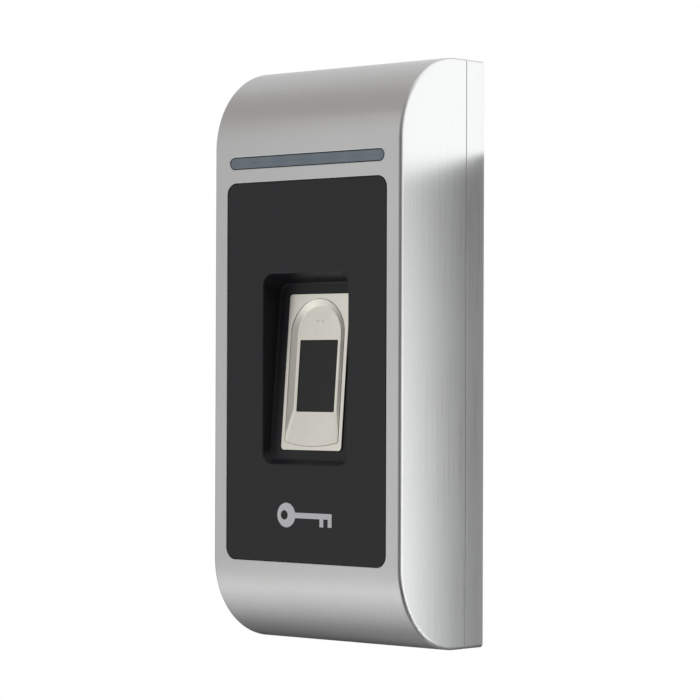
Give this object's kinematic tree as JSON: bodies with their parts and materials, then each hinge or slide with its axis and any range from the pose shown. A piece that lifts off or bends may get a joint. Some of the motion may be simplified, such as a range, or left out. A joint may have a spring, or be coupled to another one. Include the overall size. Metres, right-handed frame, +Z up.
{
  "type": "fingerprint scanner terminal",
  "caption": "Slim wall-mounted fingerprint reader: rounded metal case that swings off a rear tray, black front panel, light bar and a recessed scooped finger sensor.",
  "frame": {"origin": "middle of the tray's back face, on the wall plane", "axes": "+X to the right as seen from the front, +Y into the wall, +Z up; the front face looks along -Y"},
  "size_m": [0.064, 0.032, 0.148],
  "materials": {
    "case_metal": "satin brushed metal casing",
    "panel_black": "fine matte black moulding",
    "mark_grey": "light grey print",
    "light_lens": "smoked slate-blue light guide, unlit",
    "bezel_nickel": "warm satin nickel",
    "sensor_glass": "dark coated sensing surface",
    "seal_rubber": "soft black rubber",
    "circuit_board": "green solder mask on glass epoxy",
    "screw_steel": "bright zinc plated steel",
    "part_black": "black moulded component body",
    "part_ivory": "ivory moulded plastic",
    "led_white": "white LED packages",
    "can_aluminium": "bare aluminium can",
    "terminal_green": "green moulded terminal block"
  },
  "bodies": {
    "base": {"base_plate": "case_metal", "cover_seal": "seal_rubber", "cable_grommet": "seal_rubber"},
    "cover": {"front_cover": "case_metal", "front_panel": "panel_black", "panel_gasket": "seal_rubber", "key_mark": "mark_grey", "light_bar": "light_lens", "led_board": "circuit_board", "leds": "led_white", "led_header": "part_black", "sensor_bezel": "bezel_nickel", "sensor_gasket": "seal_rubber", "sensor_chip": "sensor_glass", "sensor_board": "circuit_board", "sensor_screws": "screw_steel", "ribbon_cable": "part_ivory", "ribbon_sockets": "part_ivory", "main_board": "circuit_board", "board_screws": "screw_steel", "board_chips": "part_black", "capacitors": "can_aluminium", "buzzer": "part_black", "terminal_block": "terminal_green", "terminal_screws": "screw_steel", "tamper_switch": "part_black", "tamper_spring": "screw_steel"},
    "tamper_plunger": {"tamper_plunger": "part_ivory"},
    "security_screw": {"security_screw": "screw_steel"}
  },
  "joints": [
    {"name": "cover_swing", "type": "hinge", "parent": "base", "child": "cover", "pos_m": [0, -0.007, 0.074], "axis": [-1, 0, 0], "range_deg": [0, 25]},
    {"name": "tamper_travel", "type": "slide", "parent": "cover", "child": "tamper_plunger", "axis": [0, 1, 0], "range_m": [0, 0.0015]},
    {"name": "screw_travel", "type": "slide", "parent": "cover", "child": "security_screw", "axis": [0, 0, 1], "range_m": [0, 0.004]}
  ],
  "couplings": [
    {"joint": "tamper_travel", "follows": "cover_swing", "m_per_rad": 0.00343}
  ]
}
